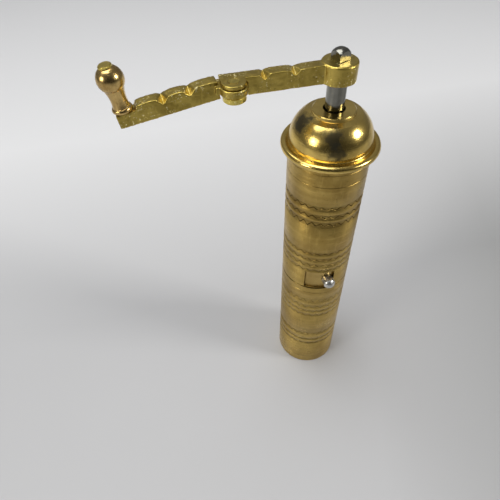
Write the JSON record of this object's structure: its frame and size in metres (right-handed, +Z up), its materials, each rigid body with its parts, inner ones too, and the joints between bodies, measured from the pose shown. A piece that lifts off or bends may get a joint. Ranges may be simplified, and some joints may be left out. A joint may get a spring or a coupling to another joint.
{
  "type": "pepper mill",
  "caption": "Slim cylindrical brass pepper mill with a domed lid, a steel shaft and a folding scalloped crank with a turned knob; the lower cup pulls off.",
  "frame": {"origin": "centre of the flat base that the mill stands on", "axes": "+Z up along the mill's axis, the crank's inner arm along -X, the locating pin facing -Y"},
  "size_m": [0.1103, 0.0449, 0.2137],
  "materials": {
    "aged_brass": "satin, fine turning lines, darkened by age",
    "polished_brass": "polished with tarnish patches",
    "plain_brass": "as turned",
    "cast_brass": "cast and filed, slightly pitted",
    "warm_brass": "hand polished",
    "polished_steel": "polished",
    "burr_steel": "hardened, as cut"
  },
  "bodies": {
    "receiver": {"receiver_tube": "aged_brass", "receiver_base": "aged_brass"},
    "barrel": {"barrel_tube": "aged_brass", "upper_bridge": "plain_brass", "bridge_bush": "plain_brass"},
    "burr_carrier": {"burr_carrier": "plain_brass", "locating_pin": "polished_steel", "outer_burr": "burr_steel", "lower_bridge": "plain_brass", "bridge_screws": "polished_steel", "spring_washer": "polished_steel", "pressure_spring": "polished_steel"},
    "drive": {"drive_shaft": "polished_steel", "inner_burr": "burr_steel", "burr_cross_pin": "polished_steel", "adjusting_nut": "plain_brass", "lock_nut": "plain_brass"},
    "lid": {"lid_dome": "polished_brass", "lid_skirt": "plain_brass"},
    "inner_crank": {"crank_inner_arm": "cast_brass", "hinge_rivet": "cast_brass"},
    "outer_crank": {"crank_outer_arm": "cast_brass", "knob_stud": "cast_brass"},
    "knob": {"knob": "warm_brass"}
  },
  "joints": [
    {"name": "barrel_lift", "type": "slide", "parent": "receiver", "child": "barrel", "axis": [0, 0, 1], "range_m": [0, 0.045]},
    {"name": "carrier_turn", "type": "hinge", "parent": "barrel", "child": "burr_carrier", "pos_m": [0, 0, 0.0904], "axis": [0, 0, 1], "range_deg": [-29, 0]},
    {"name": "drive_spin", "type": "hinge", "parent": "barrel", "child": "drive", "pos_m": [0, 0, 0.15], "axis": [0, 0, 1], "continuous": true},
    {"name": "crank_lift", "type": "slide", "parent": "drive", "child": "inner_crank", "axis": [0, 0, 1], "range_m": [0, 0.075]},
    {"name": "lid_lift", "type": "slide", "parent": "barrel", "child": "lid", "axis": [0, 0, 1], "range_m": [0, 0.06]},
    {"name": "crank_fold", "type": "hinge", "parent": "inner_crank", "child": "outer_crank", "pos_m": [-0.0417, -0.004, 0.199], "axis": [0, 0, 1], "range_deg": [-4.5, 160]},
    {"name": "knob_spin", "type": "hinge", "parent": "outer_crank", "child": "knob", "pos_m": [-0.08217, -0.00267, 0.19628], "axis": [-0.1215, -0.0096, 0.9925], "continuous": true}
  ],
  "couplings": [
    {"joint": "lid_lift", "follows": "crank_lift", "ratio": 0.8}
  ]
}
